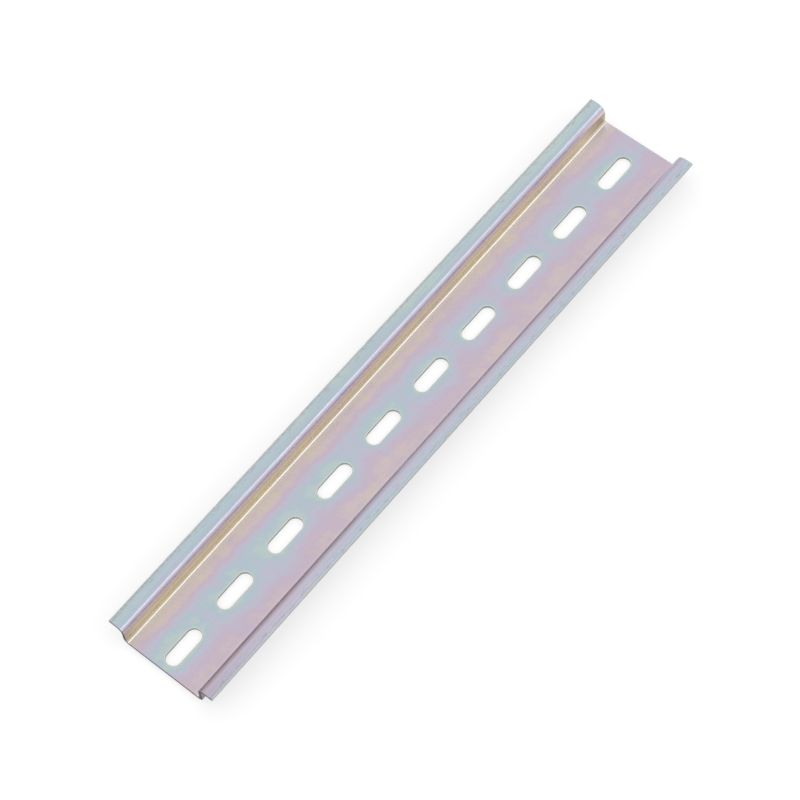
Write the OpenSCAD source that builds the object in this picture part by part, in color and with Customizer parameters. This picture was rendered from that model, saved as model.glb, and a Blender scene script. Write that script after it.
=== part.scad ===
// Slotted mounting rail of top hat section, 35 mm wide over the lips and 7.5 mm
// high, cut to a short length. Rolled as one piece from punched, zinc plated strip.
//
// X runs along the rail, Y across it and Z up, away from the surface that the rail
// is screwed to. The origin is at the middle of the length, on the back of the web.
// The end at low X is the one with the short margin. All sizes are in millimetres.

/* [Rail] */
// length that the rail is cut to
rail_length = 200; // [40:1:1000]
// width over the edges of both lips
rail_width = 35; // [33:0.5:45]
// height from the back of the web to the top of the lips
rail_height = 7.5; // [6:0.5:15]
// width of the channel over the outside of its walls
channel_width = 27; // [20:0.5:29]
// thickness of the strip
sheet = 1; // [0.8:0.1:1.5]

/* [Bends] */
// inside radius where the web turns up into a wall
web_bend = 0.8; // [0.3:0.1:1.4]
// inside radius where a wall turns out into a lip
lip_bend = 1.6; // [0.3:0.1:2]
// radius on the corners of a lip's slit edge
edge_round = 0.05; // [0.02:0.01:0.35]

/* [Slots] */
// length of a slot, over its round ends
slot_length = 12; // [8:0.5:16]
// width of a slot
slot_width = 4.3; // [3:0.1:6.5]
// distance from one slot's centre to the next
slot_pitch = 20; // [18:0.5:50]
// distance from the end at low X to the centre of the first slot
first_slot = 8; // [8:0.5:25]
// least metal left between the last slot and the end at high X
end_metal = 2; // [1:0.5:15]

/* [Hidden] */
// the fineness of the bends, edges and slot ends
$fn = 48;
// the cutters reach this far past the faces they cut
overcut = 1;

// across the rail, from its middle
wall_outside = channel_width / 2;
wall_inside = wall_outside - sheet;
lip_edge = rail_width / 2;
web_bend_y = wall_inside - web_bend;
lip_bend_y = wall_outside + lip_bend;

// up from the back of the web
web_bend_z = sheet + web_bend;
lip_underside = rail_height - sheet;
lip_bend_z = lip_underside - lip_bend;

// along the rail, as many slots as fit the length
slot_room = rail_length - first_slot - slot_length / 2 - end_metal;
slot_count = 1 + floor(slot_room / slot_pitch);
slot_straight = slot_length - slot_width;

// a quarter of a disc in the corner between +X and +Y
module quarter_disc(radius) {
    intersection() {
        circle(r = radius);
        square(radius);
    }
}

// the strip going round a quarter turn, in the corner between +X and +Y
module quarter_bend(inside) {
    difference() {
        quarter_disc(inside + sheet);
        circle(r = inside);
    }
}

// a lip from the end of its bend to its slit edge, whose corners are eased
module lip_outline() {
    eased = lip_edge - edge_round;
    translate([lip_bend_y, lip_underside])
        square([eased - lip_bend_y, sheet]);
    translate([eased, lip_underside + edge_round])
        square([edge_round, sheet - 2 * edge_round]);
    translate([eased, rail_height - edge_round])
        quarter_disc(edge_round);
    translate([eased, lip_underside + edge_round])
        rotate(-90)
            quarter_disc(edge_round);
}

// one side of the section: bend, wall, bend and lip
module side_outline() {
    translate([web_bend_y, web_bend_z])
        rotate(-90)
            quarter_bend(web_bend);
    translate([wall_inside, web_bend_z])
        square([sheet, lip_bend_z - web_bend_z]);
    translate([lip_bend_y, lip_bend_z])
        rotate(90)
            quarter_bend(lip_bend);
    lip_outline();
}

// the whole section, as the rolls leave it
module section_outline() {
    translate([-web_bend_y, 0])
        square([2 * web_bend_y, sheet]);
    side_outline();
    mirror([1, 0])
        side_outline();
}

// a slot with round ends, along X
module slot_outline() {
    square([slot_straight, slot_width], center = true);
    for (end = [-1, 1])
        translate([end * slot_straight / 2, 0])
            circle(d = slot_width);
}

// the punched and rolled strip, in one piece
module rail() {
    color([0.74, 0.71, 0.74])
        difference() {
            translate([-rail_length / 2, 0, 0])
                rotate([90, 0, 90])
                    linear_extrude(height = rail_length)
                        section_outline();
            for (slot = [0 : slot_count - 1])
                translate([first_slot + slot * slot_pitch - rail_length / 2, 0, -overcut])
                    linear_extrude(height = sheet + 2 * overcut)
                        slot_outline();
        }
}

rail();
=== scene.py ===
import math
from types import SimpleNamespace

import bpy
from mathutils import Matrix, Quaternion, Vector


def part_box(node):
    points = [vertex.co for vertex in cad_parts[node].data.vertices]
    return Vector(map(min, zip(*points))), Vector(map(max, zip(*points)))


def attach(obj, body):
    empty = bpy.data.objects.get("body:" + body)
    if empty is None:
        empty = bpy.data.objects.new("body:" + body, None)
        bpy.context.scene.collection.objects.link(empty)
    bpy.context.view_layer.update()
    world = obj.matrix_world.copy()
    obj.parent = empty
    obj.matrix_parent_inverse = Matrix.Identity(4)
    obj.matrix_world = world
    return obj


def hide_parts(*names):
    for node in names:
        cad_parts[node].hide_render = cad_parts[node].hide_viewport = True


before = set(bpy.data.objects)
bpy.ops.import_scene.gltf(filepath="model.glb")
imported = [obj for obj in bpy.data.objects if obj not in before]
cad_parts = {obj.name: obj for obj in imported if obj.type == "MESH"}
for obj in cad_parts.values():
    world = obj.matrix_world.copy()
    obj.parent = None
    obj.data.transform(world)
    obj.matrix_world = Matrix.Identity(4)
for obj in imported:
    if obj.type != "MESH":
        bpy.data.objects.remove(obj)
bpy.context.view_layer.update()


# ---- Rolled rail -------------------------------------------------------------
# One strip of cold rolled steel, 1 mm thick. It is punched with a row of round
# ended slots, slit, roll formed to a top hat section and zinc plated, and then
# cut to length, so that its two ends are bare steel.

MM = 0.001
low, high = (Vector(corner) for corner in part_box("rail"))
LENGTH = high.x - low.x
WIDTH = high.y - low.y
HEIGHT = high.z - low.z
SHEET = 1.0 * MM
CHANNEL_WIDTH = 27.0 * MM
WEB_BEND = 0.8 * MM
LIP_BEND = 1.6 * MM
SLIT_EDGE = 0.1 * MM
KEEP_FLAT = 0.15 * MM

SLOT_LENGTH = 12.0 * MM
SLOT_WIDTH = 4.3 * MM
SLOT_PITCH = 20.0 * MM
FIRST_SLOT = low.x + 8.0 * MM
SLOT_COUNT = 10
RIM_ROLL = 0.2 * MM
BREAKOUT = 0.05 * MM

ARRIS = 0.05 * MM
NICK_DEPTH = 0.12 * MM
NICK_SEED = 3.0
NICKS_PER_METRE = 420.0
NICKS_START = 0.5
NICKS_DEEPEST = 0.78

BEND_STEPS = 9
LENGTH_STEPS = 321
PUNCH_SIDES = 64
PUNCH_RINGS = 12
HAIR = 0.001 * MM

# The section is drawn as its corners, each with the radius it is rolled to. It
# is closed, and goes round the metal once.
wall_out = CHANNEL_WIDTH / 2
wall_in = wall_out - SHEET
lip_edge = WIDTH / 2
lip_under = HEIGHT - SHEET
half_section = [
    (wall_out - WEB_BEND - SHEET - KEEP_FLAT, 0.0, 0.0),
    (wall_out, 0.0, WEB_BEND + SHEET),
    (wall_out, WEB_BEND + SHEET + KEEP_FLAT, 0.0),
    (wall_out, lip_under - LIP_BEND - KEEP_FLAT, 0.0),
    (wall_out, lip_under, LIP_BEND),
    (wall_out + LIP_BEND + KEEP_FLAT, lip_under, 0.0),
    (lip_edge - SLIT_EDGE - KEEP_FLAT, lip_under, 0.0),
    (lip_edge, lip_under, SLIT_EDGE),
    (lip_edge, HEIGHT, SLIT_EDGE),
    (lip_edge - SLIT_EDGE - KEEP_FLAT, HEIGHT, 0.0),
    (wall_out + LIP_BEND + KEEP_FLAT, HEIGHT, 0.0),
    (wall_in, HEIGHT, LIP_BEND + SHEET),
    (wall_in, lip_under - LIP_BEND - KEEP_FLAT, 0.0),
    (wall_in, SHEET + WEB_BEND + KEEP_FLAT, 0.0),
    (wall_in, SHEET, WEB_BEND),
    (wall_in - WEB_BEND - KEEP_FLAT, SHEET, 0.0),
]
other_half = [(-across, up, radius) for across, up, radius in reversed(half_section)]
corners = half_section + other_half

section_mesh = bpy.data.meshes.new("rail_section")
section_mesh.from_pydata(
    [(across, up, 0.0) for across, up, radius in corners],
    [(i, (i + 1) % len(corners)) for i in range(len(corners))],
    [],
)
radii = section_mesh.attributes.new("bend_radius", "FLOAT", "POINT")
for corner, (across, up, radius) in zip(radii.data, corners):
    corner.value = radius
section = bpy.data.objects.new("rail_section", section_mesh)
bpy.context.scene.collection.objects.link(section)


class Amount:
    """A number that a node puts out. Arithmetic with it makes Math nodes."""

    def __init__(self, tree, socket):
        self.tree = tree
        self.socket = socket

    def __add__(self, other):
        return self.tree.sum("ADD", self, other)

    def __sub__(self, other):
        return self.tree.sum("SUBTRACT", self, other)

    def __rsub__(self, other):
        return self.tree.sum("SUBTRACT", other, self)

    def __mul__(self, other):
        return self.tree.sum("MULTIPLY", self, other)

    def __truediv__(self, other):
        return self.tree.sum("DIVIDE", self, other)

    def __neg__(self):
        return self.tree.sum("MULTIPLY", self, -1.0)

    def __abs__(self):
        return self.tree.sum("ABSOLUTE", self)

    __radd__ = __add__
    __rmul__ = __mul__


class Tree:
    """Short calls for the nodes, sums and links of one node tree."""

    def __init__(self, tree):
        self.tree = tree

    def put(self, socket, value):
        if isinstance(value, Amount):
            value = value.socket
        if isinstance(value, bpy.types.NodeSocket):
            self.tree.links.new(value, socket)
        else:
            socket.default_value = value

    def node(self, kind, inputs=None, **settings):
        made = self.tree.nodes.new(kind)
        for name, value in settings.items():
            setattr(made, name, value)
        for name, value in (inputs or {}).items():
            self.put(made.inputs[name], value)
        return made

    def sum(self, operation, *values):
        made = self.node("ShaderNodeMath", operation=operation)
        for socket, value in zip(made.inputs, values):
            self.put(socket, value)
        return Amount(self, made.outputs[0])

    def vector(self, x, y, z):
        made = self.node("ShaderNodeCombineXYZ", {"X": x, "Y": y, "Z": z})
        return made.outputs[0]

    def split(self, vector):
        x, y, z = self.node("ShaderNodeSeparateXYZ", {"Vector": vector}).outputs
        return SimpleNamespace(x=Amount(self, x), y=Amount(self, y), z=Amount(self, z))

    def span(self, value, start, end, at_start=0.0, at_end=1.0, smooth=False):
        """Goes from at_start to at_end as value goes from start to end."""
        limits = {"From Min": start, "From Max": end, "To Min": at_start, "To Max": at_end}
        made = self.node(
            "ShaderNodeMapRange",
            {"Value": value, **limits},
            interpolation_type="SMOOTHSTEP" if smooth else "LINEAR",
        )
        return Amount(self, made.outputs[0])

    def noise(self, vector, scale=1.0, detail=2.0, seed=0.0, roughness=0.5):
        made = self.node(
            "ShaderNodeTexNoise",
            {"Vector": vector, "W": seed, "Scale": scale, "Detail": detail, "Roughness": roughness},
            noise_dimensions="4D",
        )
        return Amount(self, made.outputs[0])


passivated_zinc = bpy.data.materials.new("passivated_zinc")
roll_and_punch = bpy.data.node_groups.new("roll_and_punch", "GeometryNodeTree")
interface = roll_and_punch.interface
interface.new_socket("Section", in_out="INPUT", socket_type="NodeSocketGeometry")
interface.new_socket("Rail", in_out="OUTPUT", socket_type="NodeSocketGeometry")
named_inputs = [
    ("Length", "Float", LENGTH),
    ("Sheet", "Float", SHEET),
    ("Half Width", "Float", lip_edge),
    ("Slot Length", "Float", SLOT_LENGTH),
    ("Slot Width", "Float", SLOT_WIDTH),
    ("Slot Pitch", "Float", SLOT_PITCH),
    ("First Slot", "Float", FIRST_SLOT),
    ("Slot Count", "Int", SLOT_COUNT),
    ("Rim Roll", "Float", RIM_ROLL),
    ("Breakout", "Float", BREAKOUT),
    ("Arris", "Float", ARRIS),
    ("Seed", "Float", NICK_SEED),
    ("Finish", "Material", passivated_zinc),
]
rolling_values = {}
for name, kind, value in named_inputs:
    socket = interface.new_socket(name, in_out="INPUT", socket_type="NodeSocket" + kind)
    rolling_values[socket.identifier] = value

shape = Tree(roll_and_punch)
given = {socket.name: Amount(shape, socket) for socket in shape.node("NodeGroupInput").outputs}
result = shape.node("NodeGroupOutput")

# Rolling: the corners are rounded, and the section runs along X in short steps.
# The step at each end is a fine one, where the sharp arris is broken.
outline = shape.node("GeometryNodeMeshToCurve", {"Mesh": given["Section"]})
bend_radius = shape.node("GeometryNodeInputNamedAttribute", {"Name": "bend_radius"}, data_type="FLOAT")
rounded = shape.node(
    "GeometryNodeFilletCurve",
    {
        "Curve": outline.outputs[0],
        "Count": BEND_STEPS,
        "Radius": bend_radius.outputs["Attribute"],
        "Limit Radius": True,
    },
    mode="POLY",
)
along = shape.split(shape.node("GeometryNodeInputTangent").outputs[0])
facing = shape.node("GeometryNodeCaptureAttribute", {"Geometry": rounded.outputs[0]}, domain="POINT")
facing.capture_items.new("VECTOR", "Outwards")
shape.put(facing.inputs["Outwards"], shape.vector(along.y, -along.x, 0.0))
outwards = shape.split(facing.outputs["Outwards"])

half_length = given["Length"] * 0.5
line = shape.node(
    "GeometryNodeCurvePrimitiveLine",
    {"Start": shape.vector(-half_length, 0.0, 0.0), "End": shape.vector(half_length, 0.0, 0.0)},
)
steps = shape.node(
    "GeometryNodeResampleCurve", {"Curve": line.outputs[0], "Count": LENGTH_STEPS}, mode="COUNT"
)
index = shape.node("GeometryNodeInputIndex").outputs[0]
is_second = shape.sum("COMPARE", index, 1.0, 0.5)
is_second_last = shape.sum("COMPARE", index, LENGTH_STEPS - 2.0, 0.5)
slide = given["Length"] / (LENGTH_STEPS - 1.0) - given["Arris"]
spaced = shape.node(
    "GeometryNodeSetPosition",
    {
        "Geometry": steps.outputs[0],
        "Offset": shape.vector((is_second_last - is_second) * slide, 0.0, 0.0),
    },
)
upright = shape.node("GeometryNodeSetCurveTilt", {"Curve": spaced.outputs[0], "Tilt": math.pi})
swept = shape.node(
    "GeometryNodeCurveToMesh",
    {"Curve": upright.outputs[0], "Profile Curve": facing.outputs["Geometry"], "Fill Caps": True},
)

here = shape.split(shape.node("GeometryNodeInputPosition").outputs[0])
at_end = shape.sum("GREATER_THAN", abs(here.x), half_length - HAIR)
draw_in = -given["Arris"]
broken = shape.node(
    "GeometryNodeSetPosition",
    {
        "Geometry": swept.outputs[0],
        "Selection": at_end,
        "Offset": shape.vector(0.0, outwards.x * draw_in, outwards.y * draw_in),
    },
)

# Slitting leaves small nicks along the free edge of both lips, deepest where the
# noise is highest.
on_slit = shape.sum("GREATER_THAN", abs(here.y), given["Half Width"] - NICK_DEPTH)
lip_side = shape.sum("SIGN", here.y)
jag = shape.noise(shape.vector(here.x, lip_side, 0.0), NICKS_PER_METRE, seed=given["Seed"])
bite = shape.span(jag, NICKS_START, NICKS_DEEPEST, 0.0, NICK_DEPTH)
nicked = shape.node(
    "GeometryNodeSetPosition",
    {
        "Geometry": broken.outputs[0],
        "Selection": on_slit,
        "Offset": shape.vector(0.0, lip_side * -bite, 0.0),
    },
)

# Punching: a closed punch in the shape of a slot, in rings from its foot up. It is
# flared below for the breakout and above for the rolled over rim, and its first
# and last rings stand clear of the strip. A point that should be on the middle of
# the round punch is a rounding error away from it.
FOOT_RING = 1.0
BREAKOUT_RING = 2.0
STRAIGHT_RING = 3.0
TOP_RING = PUNCH_RINGS - 1.0
CLEAR = 1.0 * MM
STAND_PROUD = 0.004 * MM
ROUND_OFF = 1000.0
punch = shape.node(
    "GeometryNodeMeshCylinder",
    {"Vertices": PUNCH_SIDES, "Side Segments": PUNCH_RINGS, "Radius": 1.0, "Depth": 1.0},
    fill_type="NGON",
)
on_punch = shape.split(shape.node("GeometryNodeInputPosition").outputs[0])
ring = (on_punch.z + 0.5) * float(PUNCH_RINGS)
turn = shape.span(ring, STRAIGHT_RING, TOP_RING, 0.0, math.pi / 2)
flare = given["Rim Roll"] * (1.0 - shape.sum("COSINE", turn))
torn = given["Breakout"] * shape.span(ring, BREAKOUT_RING, FOOT_RING)
punch_radius = given["Slot Width"] * 0.5 + flare + torn
half_straight = (given["Slot Length"] - given["Slot Width"]) * 0.5
punch_half = shape.sum("SIGN", shape.sum("ROUND", on_punch.x * ROUND_OFF))
rim_start = given["Sheet"] - given["Rim Roll"]
rim_z = rim_start + given["Rim Roll"] * shape.sum("SINE", turn)
through = rim_z * shape.span(ring, FOOT_RING, STRAIGHT_RING)
below = shape.span(ring, FOOT_RING, 0.0, 0.0, -CLEAR)
above = shape.span(ring, TOP_RING, PUNCH_RINGS, STAND_PROUD, CLEAR)
rise = shape.span(ring, TOP_RING - 0.5, TOP_RING) * above
punch_place = shape.vector(
    on_punch.x * punch_radius + punch_half * half_straight,
    on_punch.y * punch_radius,
    through + below + rise,
)
shaped = shape.node(
    "GeometryNodeSetPosition", {"Geometry": punch.outputs["Mesh"], "Position": punch_place}
)
strokes = shape.node(
    "GeometryNodeMeshLine",
    {
        "Count": given["Slot Count"],
        "Start Location": shape.vector(given["First Slot"], 0.0, 0.0),
        "Offset": shape.vector(given["Slot Pitch"], 0.0, 0.0),
    },
    mode="OFFSET",
)
struck = shape.node(
    "GeometryNodeInstanceOnPoints", {"Points": strokes.outputs[0], "Instance": shaped.outputs[0]}
)
punches = shape.node("GeometryNodeRealizeInstances", {"Geometry": struck.outputs[0]})
punched = shape.node(
    "GeometryNodeMeshBoolean",
    {"Mesh 1": nicked.outputs[0], "Mesh 2": punches.outputs[0]},
    operation="DIFFERENCE",
    solver="EXACT",
)

# Bends and rims are smooth, arrises are sharp, and a rim doesn't shade the flat
# web round it.
SHARP = math.radians(30.0)
BARELY_TURNED = math.radians(1.0)
turned = shape.node("GeometryNodeInputMeshEdgeAngle").outputs["Unsigned Angle"]
on_top = shape.sum("COMPARE", here.z, given["Sheet"], 3.0 * HAIR)
by_slot = shape.sum("LESS_THAN", abs(here.y), given["Slot Width"])
rim = on_top * by_slot * shape.sum("GREATER_THAN", turned, BARELY_TURNED)
creases = shape.sum("MAXIMUM", shape.sum("GREATER_THAN", turned, SHARP), rim)
smooth = shape.node(
    "GeometryNodeSetShadeSmooth", {"Geometry": punched.outputs["Mesh"], "Shade Smooth": True}
)
creased = shape.node(
    "GeometryNodeSetShadeSmooth",
    {"Geometry": smooth.outputs[0], "Selection": creases, "Shade Smooth": False},
    domain="EDGE",
)
realized = shape.node("GeometryNodeRealizeInstances", {"Geometry": creased.outputs[0]})
finished = shape.node(
    "GeometryNodeSetMaterial", {"Geometry": realized.outputs[0], "Material": given["Finish"]}
)
shape.put(result.inputs["Rail"], finished.outputs[0])

# The finish is a clear passivation film on zinc. Its colour goes through the same
# order everywhere as the film gets thicker: teal, lavender, mauve, tan and gold.
# It is thin along the slots and on the lips, and thickest on the walls. All of
# the pattern is in millimetres.


def colour(red, green, blue):
    """The linear colour of three numbers from 0 to 255."""

    def linear(part):
        part = part / 255
        return part / 12.92 if part <= 0.04045 else ((part + 0.055) / 1.055) ** 2.4

    return (linear(red), linear(green), linear(blue), 1.0)


def grey(value):
    return (value, value, value, 1.0)


passivated_zinc.use_nodes = True
zinc = Tree(passivated_zinc.node_tree)
shader = passivated_zinc.node_tree.nodes["Principled BSDF"]


def ramp(value, stops):
    made = zinc.node("ShaderNodeValToRGB", {"Fac": value})
    points = made.color_ramp.elements
    while len(points) < len(stops):
        points.new(0.5)
    for point, (position, tint) in zip(points, stops):
        point.position = position
        point.color = tint
    return made.outputs["Color"]


def blend(amount, first, second, how="MIX"):
    inputs = {0: amount, 6: first, 7: second}
    made = zinc.node("ShaderNodeMix", inputs, data_type="RGBA", blend_type=how)
    return made.outputs[2]


def lighten(tint, factor):
    return blend(1.0, tint, zinc.vector(factor, factor, factor), "MULTIPLY")


def lightness(tint):
    return Amount(zinc, zinc.node("ShaderNodeRGBToBW", {"Color": tint}).outputs[0])


END = LENGTH / 2 / MM
EDGE = WIDTH / 2 / MM
place = zinc.node("ShaderNodeTexCoord").outputs["Object"]
in_mm = zinc.node("ShaderNodeVectorMath", {0: place, "Scale": 1 / MM}, operation="SCALE").outputs[0]
at = zinc.split(in_mm)
x, y, z = at.x, at.y, at.z
across = abs(y)
high_side = zinc.span(y, -1.5, 1.5, smooth=True)
low_side = 1.0 - high_side
toward_high_x = zinc.span(x, -50.0, 50.0, smooth=True)


def by_side(at_low_y, at_high_y):
    return zinc.span(high_side, 0.0, 1.0, at_low_y, at_high_y)


def by_length(at_low_x, at_high_x):
    return zinc.span(toward_high_x, 0.0, 1.0, at_low_x, at_high_x)


# A place on the strip is told by how far it is from the middle of the web, across
# and up. The web bends up from 12.7 to 14.3, the wall is flat as far as 17.4, the
# lip bends out as far as 22.6 and its edge is at 25. From the top of the wall
# outwards the bands waver.
STRIP_EDGE = (WIDTH / 2 + HEIGHT) / MM
unrolled = across + z
waver = zinc.noise(zinc.vector(x * 0.17, high_side, 0.0), detail=3.0, seed=18.4)
waver = (waver - 0.5) * zinc.span(unrolled, 15.5, 18.0, 0.0, 1.7)
strip_place = (unrolled + waver) / STRIP_EDGE


def across_strip(stations):
    """A value given at places across the strip, with straight steps between them."""
    return ramp(strip_place, [(station / STRIP_EDGE, grey(value)) for station, value in stations])


# How far along its order of colours the film is, across each half of the strip.
order_high_y = across_strip([
    (1.0, 0.22), (3.0, 0.20), (5.0, 0.19), (6.0, 0.20), (7.0, 0.26), (8.0, 0.37), (9.0, 0.51),
    (10.0, 0.63), (11.0, 0.67), (12.0, 0.61), (13.4, 0.82), (14.0, 0.95), (15.3, 1.0),
    (16.4, 0.97), (17.4, 0.88), (18.3, 0.76), (18.9, 0.62), (19.5, 0.43), (20.2, 0.24),
    (21.0, 0.14), (22.4, 0.07), (25.0, 0.04),
])
order_low_y = across_strip([
    (1.0, 0.26), (2.0, 0.33), (3.0, 0.39), (4.0, 0.43), (5.0, 0.445), (6.0, 0.47), (7.5, 0.52),
    (9.0, 0.57), (10.0, 0.59), (11.0, 0.58), (12.7, 0.53), (14.3, 0.62), (15.3, 0.68),
    (17.4, 0.48), (19.5, 0.40), (20.7, 0.39), (21.5, 0.35), (22.6, 0.26), (23.5, 0.19),
    (25.0, 0.14),
])
order = lightness(blend(high_side, order_low_y, order_high_y))

# How far it is from the nearest slot, in the plane of the web.
PITCH = SLOT_PITCH / MM
slot_place = zinc.sum("FLOORED_MODULO", x - (FIRST_SLOT / MM - PITCH / 2), PITCH)
half_straight_mm = (SLOT_LENGTH - SLOT_WIDTH) / 2 / MM
past_straight = zinc.sum("MAXIMUM", abs(slot_place - PITCH / 2) - half_straight_mm, 0.0)
from_centre = zinc.sum("SQRT", past_straight * past_straight + y * y)
from_slot = from_centre - SLOT_WIDTH / 2 / MM

# The bath drained across the strip, so the bands sway, and run out in drips.
SWAY = 0.62
DRIPS = 0.46
FINE_DRIPS = 0.18
CLOUDS = 0.30
LEAN = 0.35
CALM_ON_LIPS = 0.45
slanted = x + y * LEAN
sway = zinc.noise(zinc.vector(x * 0.045, y * 0.11, 0.0), detail=3.0, seed=1.7)
drips = zinc.noise(zinc.vector(slanted * 0.16, y * 0.05, z), detail=3.0, seed=4.2)
fine_drips = zinc.noise(zinc.vector(slanted * 0.9, y * 0.12, 0.0), seed=8.1)
clouds = zinc.noise(in_mm, 0.42, 3.0, seed=3.3, roughness=0.6)
wander = (sway - 0.5) * SWAY + (drips - 0.5) * DRIPS
wander = wander + (fine_drips - 0.5) * FINE_DRIPS + (clouds - 0.5) * CLOUDS
on_web = zinc.span(unrolled, 13.4, 12.4, smooth=True)
wander = wander * zinc.span(on_web, 0.0, 1.0, CALM_ON_LIPS, 1.0)

# It is thinner round each slot, and thickens slowly toward the high X end on the
# high Y side.
near_slot = zinc.span(from_slot, 7.0, 0.0)
thinned = near_slot * near_slot * by_side(-0.38, by_length(-0.16, -0.34))
on_high_strip = zinc.span(y, 8.5, 5.5, smooth=True) * zinc.span(y, -1.5, 2.5, smooth=True)
slow_change = by_length(-0.08, 0.10) * on_high_strip
by_sawn_end = zinc.span(abs(x), END - 22.0, END - 8.0, smooth=True)
slow_change = slow_change + by_sawn_end * by_side(-0.07, 0.05)

# Where the bath ran down from a slot: place along the rail, half width and depth.
SLOT_RUNS = [
    (-72.0, 6.0, 0.17),
    (-64.0, 6.0, 0.12),
    (-32.0, 6.5, 0.22),
    (8.0, 5.0, 0.13),
    (57.0, 4.0, 0.10),
]
run_down = 0.0
for run_x, half_width, depth in SLOT_RUNS:
    run_down = run_down + zinc.span(abs(slanted - run_x), half_width, 0.0, 0.0, depth, smooth=True)
run_down = run_down * zinc.span(y, -1.5, -4.0) * zinc.span(y, -9.5, -6.5)

# The low Y lip is mauver toward the low X end, and the high Y one is greener toward
# the other.
on_low_lip = zinc.span(unrolled, 18.0, 20.0) * low_side
mauver = zinc.span(x, 50.0 - END, 5.0 - END, 0.0, 0.09, smooth=True)
mauver = (mauver + zinc.span(x, -40.5, -43.5, -0.03, 0.03)) * on_low_lip
greener = by_length(0.0, -0.05) * zinc.span(y, EDGE - 3.0, EDGE - 1.5)

film = order + wander - run_down + (thinned + slow_change) * on_web + mauver + greener
film = zinc.sum("MAXIMUM", zinc.sum("MINIMUM", film, 1.0), 0.0)
film_colour = ramp(film, [
    (0.00, colour(184, 199, 199)),
    (0.04, colour(179, 195, 202)),
    (0.09, colour(179, 193, 203)),
    (0.15, colour(183, 191, 204)),
    (0.20, colour(188, 190, 205)),
    (0.26, colour(190, 188, 204)),
    (0.32, colour(192, 186, 203)),
    (0.37, colour(193, 184, 200)),
    (0.43, colour(196, 181, 199)),
    (0.49, colour(198, 181, 196)),
    (0.55, colour(198, 183, 193)),
    (0.60, colour(202, 187, 193)),
    (0.66, colour(204, 189, 191)),
    (0.71, colour(205, 191, 187)),
    (0.77, colour(205, 193, 185)),
    (0.86, colour(214, 202, 182)),
    (1.00, colour(217, 208, 172)),
])

# Along the strip run fine lines from the rolls, deepest where it was bent.
grain = zinc.noise(in_mm, 5.5, 3.0, seed=2.4, roughness=0.65)
rolled = zinc.noise(zinc.vector(x * 0.02, unrolled * 3.2, high_side), detail=4.0, seed=6.6)
worked = zinc.span(across, 11.6, 12.6)
lines = zinc.span(rolled, 0.3, 0.7, -1.0, 1.0) * zinc.span(worked, 0.0, 1.0, 0.012, 0.05)
lined = lighten(film_colour, zinc.span(grain, 0.3, 0.7, 0.975, 1.025) + lines)

# Painted light and shade across the strip: the film is painted lighter or darker
# where the bends and walls would catch or lose light. It is painted darker still, as
# painted shade, in the low Y lip bend toward the low X end, and darker where the
# walls run out.
sheen_and_shade = lightness(across_strip([
    (11.0, 1.02), (11.8, 1.09), (12.4, 1.22), (12.8, 1.3), (13.15, 0.90), (13.35, 0.72),
    (13.6, 0.98), (14.0, 1.38), (14.5, 1.42), (15.1, 1.14), (16.0, 1.24), (17.1, 1.06),
    (18.0, 1.12), (18.8, 1.28), (19.5, 1.05), (20.2, 1.06), (20.8, 0.92), (21.5, 0.98),
    (22.6, 1.03), (25.0, 1.06),
]))
low_bend_shade = zinc.span(unrolled, 22.6, 20.6, smooth=True) * zinc.span(unrolled, 18.0, 19.5) * low_side
low_bend_shade = low_bend_shade * zinc.span(x, 0.0, 20.0 - END, 0.10, 0.34, smooth=True)
wall_end = zinc.span(unrolled, 13.4, 14.4) * zinc.span(unrolled, 18.4, 17.4)
wall_end = wall_end * zinc.span(abs(x + 3.0), END - 7.0, END + 1.0, 0.0, 0.5)
low_lip_end = zinc.span(x, 25.0 - END, 2.0 - END, 0.0, 0.12) * zinc.span(y, 3.5 - EDGE, 2.0 - EDGE)
with_sheen_and_shade = lighten(lined, sheen_and_shade - (low_bend_shade + wall_end + low_lip_end))

# The web is painted paler beside its bends, mostly on the high Y side, as painted
# light, and along the middle of each bend runs a painted highlight line.
HIGHLIGHT_LINE = 12.95
painted_light_band = zinc.span(unrolled, 11.3, 12.5, smooth=True) * zinc.span(unrolled, 13.1, 12.8, smooth=True)
painted_light_band = painted_light_band * by_side(0.1, 1.0)
with_painted_light = blend(painted_light_band * 0.8, with_sheen_and_shade, colour(216, 211, 219))
on_highlight_line = zinc.span(abs(unrolled - HIGHLIGHT_LINE), 0.17, 0.11, smooth=True)
on_highlight_line = on_highlight_line * zinc.span(x, END - 2.0, END - 6.0, 0.3, 1.0)
with_highlight_line = blend(on_highlight_line, with_painted_light, colour(244, 239, 229))

# Handling rubbed the film greyer along the free edges of the lips, and scraped them
# in dashes. Toward the sawn ends they are soiled too.
rubbing = zinc.span(across, EDGE - 1.0, EDGE - 0.6, smooth=True)
rubbing = rubbing * zinc.span(fine_drips, 0.35, 0.65, 0.2, 0.75) * by_side(0.4, 1.0)
dashes = zinc.vector(x * 0.45, across * 1.6, high_side)
dashes = zinc.noise(dashes, detail=3.0, seed=15.2, roughness=0.6)
scraped = zinc.span(dashes, 0.50, 0.66, 0.0, 0.85, smooth=True)
scraped = scraped * zinc.span(across, EDGE - 2.3, EDGE - 0.5)
soiled = zinc.span(abs(x - 10.0), END - 25.0, END + 5.0, 0.0, 0.75)
soil = blend(soiled, colour(164, 171, 170), colour(136, 144, 144))
rubbed = blend(zinc.sum("MAXIMUM", rubbing, scraped), with_highlight_line, soil)
# A pale line along the very edge of each lip is a painted highlight.
edge_highlight = zinc.span(across, EDGE - 0.38, EDGE - 0.22, 0.0, 0.5)
with_edge_highlight = blend(edge_highlight, rubbed, colour(212, 216, 216))
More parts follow.
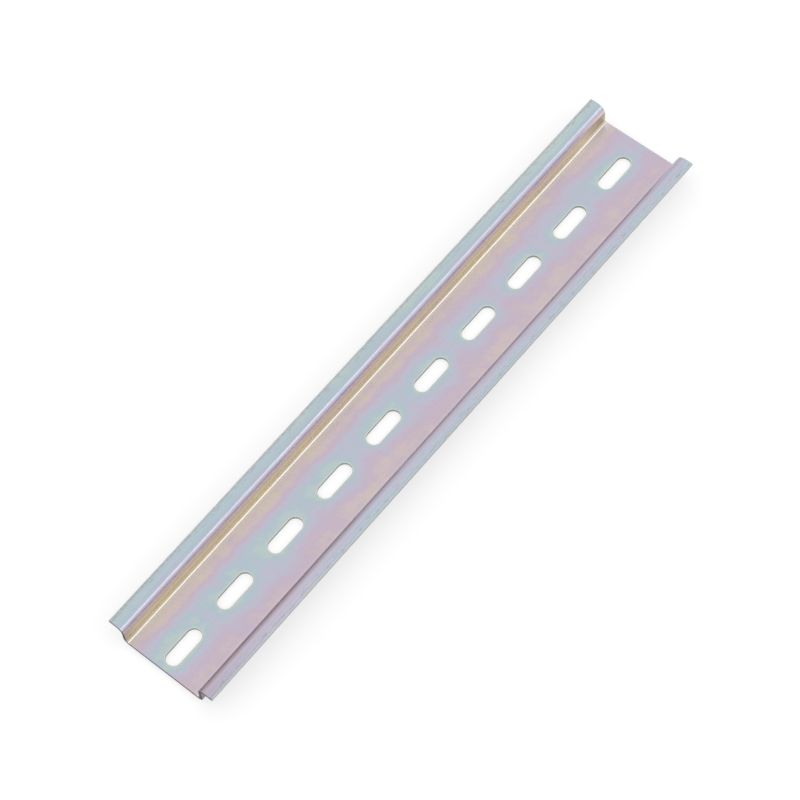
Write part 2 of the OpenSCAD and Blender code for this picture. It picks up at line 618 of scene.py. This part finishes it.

# Round each slot the film is painted paler, and paler still on its rolled over rim,
# as a painted highlight of the rim. The walls of the slots and the slit edges are
# grey from the tools, and the sawn ends are bare.
rim_sheen = zinc.span(from_slot, 0.8, 0.2, smooth=True) * on_web
with_rim_sheen = blend(rim_sheen * 0.5, with_edge_highlight, colour(194, 203, 192))
rim_highlight = zinc.span(from_slot, 0.30, 0.16, smooth=True) * on_web
with_rim_highlight = blend(rim_highlight * 0.6, with_rim_sheen, colour(226, 226, 208))
slot_wall = zinc.span(from_slot, 0.09, 0.02) * zinc.sum("LESS_THAN", z, 1.05)
punched_steel = blend(grain, colour(150, 153, 156), colour(176, 179, 180))
with_slots = blend(slot_wall, with_rim_highlight, punched_steel)
slit = zinc.span(across, EDGE - 0.14, EDGE - 0.06)
slit_steel = blend(rolled, colour(158, 163, 161), colour(204, 208, 206))
with_edges = blend(slit, with_slots, slit_steel)

# The outsides of the walls are painted darker, as painted shade, most of all near
# the sawn ends, and the ends show the marks of the saw.
outside_shade = zinc.span(across, 12.8, 13.2) * zinc.span(z, 6.48, 6.4)
outside_shade = outside_shade * zinc.span(abs(x), END - 8.0, END - 3.0, 0.4, 0.8, smooth=True)
with_outside_shade = blend(outside_shade, with_edges, colour(122, 114, 118))
sawn = zinc.span(abs(x), END - 0.04, END - 0.01)
saw_marks = zinc.noise(zinc.vector(0.0, y * 1.1, z * 9.0), detail=3.0, seed=9.9)
sawn_steel = blend(saw_marks, colour(54, 50, 48), colour(108, 100, 94))
zinc.put(shader.inputs["Base Color"], blend(sawn, with_outside_shade, sawn_steel))

bare = zinc.sum("MAXIMUM", sawn, zinc.sum("MAXIMUM", slot_wall, slit))
zinc.put(shader.inputs["Metallic"], zinc.span(bare, 0.0, 1.0, 0.92, 0.75) - painted_light_band * 0.35)
scuffed = zinc.span(unrolled, 14.0, 15.0, 0.0, 0.08) * zinc.span(unrolled, 20.0, 19.4)
rough = zinc.span(grain, 0.3, 0.7, 0.23, 0.29) + (scuffed + bare * 0.25)
zinc.put(shader.inputs["Roughness"], rough)

# The relief is shallow: grain and roll lines, a slow wave over the whole strip, a
# buckle in the lips, and a crease where the web turns up.
GRAIN_ON_WEB = 0.0003 * MM
GRAIN_ON_LIP = 0.0001 * MM
ROLL_LINES = 0.0007 * MM
WAVE = 0.03 * MM
BUCKLE = 0.08 * MM
CREASE = 0.075 * MM
relief = grain * zinc.span(worked, 0.0, 1.0, GRAIN_ON_WEB, GRAIN_ON_LIP) + rolled * ROLL_LINES
wave = zinc.noise(zinc.vector(x * 0.10, unrolled * 0.25, high_side), seed=12.5)
buckle = zinc.noise(zinc.vector(x * 0.17, unrolled * 0.3, high_side), seed=20.6)
buckle = buckle * zinc.span(unrolled, 17.0, 18.5, 0.0, BUCKLE)
crease = zinc.span(unrolled, 12.80, 13.10, 0.0, CREASE)
relief = relief + crease + (wave * WAVE + buckle)
bump = zinc.node("ShaderNodeBump", {"Height": relief, "Strength": 1.0, "Distance": 1.0})
zinc.put(shader.inputs["Normal"], bump.outputs["Normal"])

rolling = section.modifiers.new("roll_and_punch", "NODES")
rolling.node_group = roll_and_punch
for identifier, value in rolling_values.items():
    rolling[identifier] = value
evaluated = section.evaluated_get(bpy.context.evaluated_depsgraph_get())
rail_mesh = bpy.data.meshes.new_from_object(evaluated)
rail_mesh.name = "rolled_rail"
rail = bpy.data.objects.new("rolled_rail", rail_mesh)
bpy.context.scene.collection.objects.link(rail)
bpy.data.objects.remove(section)

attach(rail, "root")
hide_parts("rail")


# ---- Table and studio --------------------------------------------------------
# The rail lies on a table covered with white paper, in a white room. The room and
# a long soft box on the low Y side light it.

HALF_TABLE = 1.5
UNDER_RAIL = 0.05 * MM
PAPER_GLOW = 0.6
ROOM_LIGHT = 0.94
WHITE = (1.0, 1.0, 1.0, 1.0)

floor_mesh = bpy.data.meshes.new("table_top")
near, far = -HALF_TABLE, HALF_TABLE
floor_corners = [(near, near, 0.0), (far, near, 0.0), (far, far, 0.0), (near, far, 0.0)]
floor_mesh.from_pydata(floor_corners, [], [(0, 1, 2, 3)])
floor = bpy.data.objects.new("table_top", floor_mesh)
bpy.context.scene.collection.objects.link(floor)
floor.location.z = low.z - UNDER_RAIL


def seen(tree):
    """Where a surface is seen directly, in a reflection or through glass."""
    path = tree.node("ShaderNodeLightPath").outputs
    direct = tree.sum("MAXIMUM", path["Is Camera Ray"], path["Is Glossy Ray"])
    return tree.sum("MAXIMUM", direct, path["Is Transmission Ray"])


white_paper = bpy.data.materials.new("white_paper")
white_paper.use_nodes = True
paper = Tree(white_paper.node_tree)
paper_shader = white_paper.node_tree.nodes["Principled BSDF"]
paper_place = paper.node("ShaderNodeTexCoord").outputs["Object"]
mottle = paper.node("ShaderNodeTexNoise", {"Vector": paper_place, "Scale": 40.0, "Detail": 4.0})
paper_tint = paper.node("ShaderNodeValToRGB", {"Fac": mottle.outputs["Fac"]})
paper_tint.color_ramp.elements[0].color = grey(0.44)
paper_tint.color_ramp.elements[1].color = grey(0.46)
paper.put(paper_shader.inputs["Base Color"], paper_tint.outputs["Color"])
paper.put(paper_shader.inputs["Roughness"], 0.9)
paper.put(paper_shader.inputs["Specular IOR Level"], 0.0)
paper.put(paper_shader.inputs["Emission Color"], WHITE)
paper.put(paper_shader.inputs["Emission Strength"], seen(paper) * PAPER_GLOW)
floor_mesh.materials.append(white_paper)

world = bpy.data.worlds.new("white_room")
world.use_nodes = True
bpy.context.scene.world = world
room = Tree(world.node_tree)
background = world.node_tree.nodes["Background"]
room.put(background.inputs["Color"], WHITE)
room.put(background.inputs["Strength"], room.span(seen(room), 0.0, 1.0, ROOM_LIGHT, 1.0))

BOX_AWAY = 1.2
BOX_WIDE = 0.9
BOX_TALL = 0.2
BOX_BRIGHTNESS = 1.25
centre = (low + high) / 2
toward_box = Vector((0.333, -0.686, 0.646)).normalized()
lamp = bpy.data.lights.new("long_soft_box", "AREA")
lamp.shape = "RECTANGLE"
lamp.size = BOX_WIDE
lamp.size_y = BOX_TALL
lamp.energy = BOX_BRIGHTNESS * math.pi * BOX_WIDE * BOX_TALL
soft_box = bpy.data.objects.new("long_soft_box", lamp)
soft_box.location = centre + toward_box * BOX_AWAY
soft_box.rotation_euler = (-toward_box).to_track_quat("-Z", "Y").to_euler()
bpy.context.scene.collection.objects.link(soft_box)


# ---- Camera ------------------------------------------------------------------
# A long lens from above the near end, on the low Y side, turned a little so that
# the rail runs from low on the left to high on the right.

eye = centre + Vector((-259.21, -256.29, 674.71)) * MM
aim = centre + Vector((-2.69, 2.09, -3.75)) * MM
roll = Quaternion((0.0, 0.0, 1.0), math.radians(-6.52))
lens = bpy.data.cameras.new("camera")
lens.sensor_width = 36.0
lens.lens = 130.4
lens.clip_start = 0.01
lens.clip_end = 20.0
camera = bpy.data.objects.new("camera", lens)
camera.location = eye
camera.rotation_euler = ((aim - eye).to_track_quat("-Z", "Y") @ roll).to_euler()
bpy.context.scene.collection.objects.link(camera)
bpy.context.scene.camera = camera
bpy.context.scene.view_settings.view_transform = "Standard"
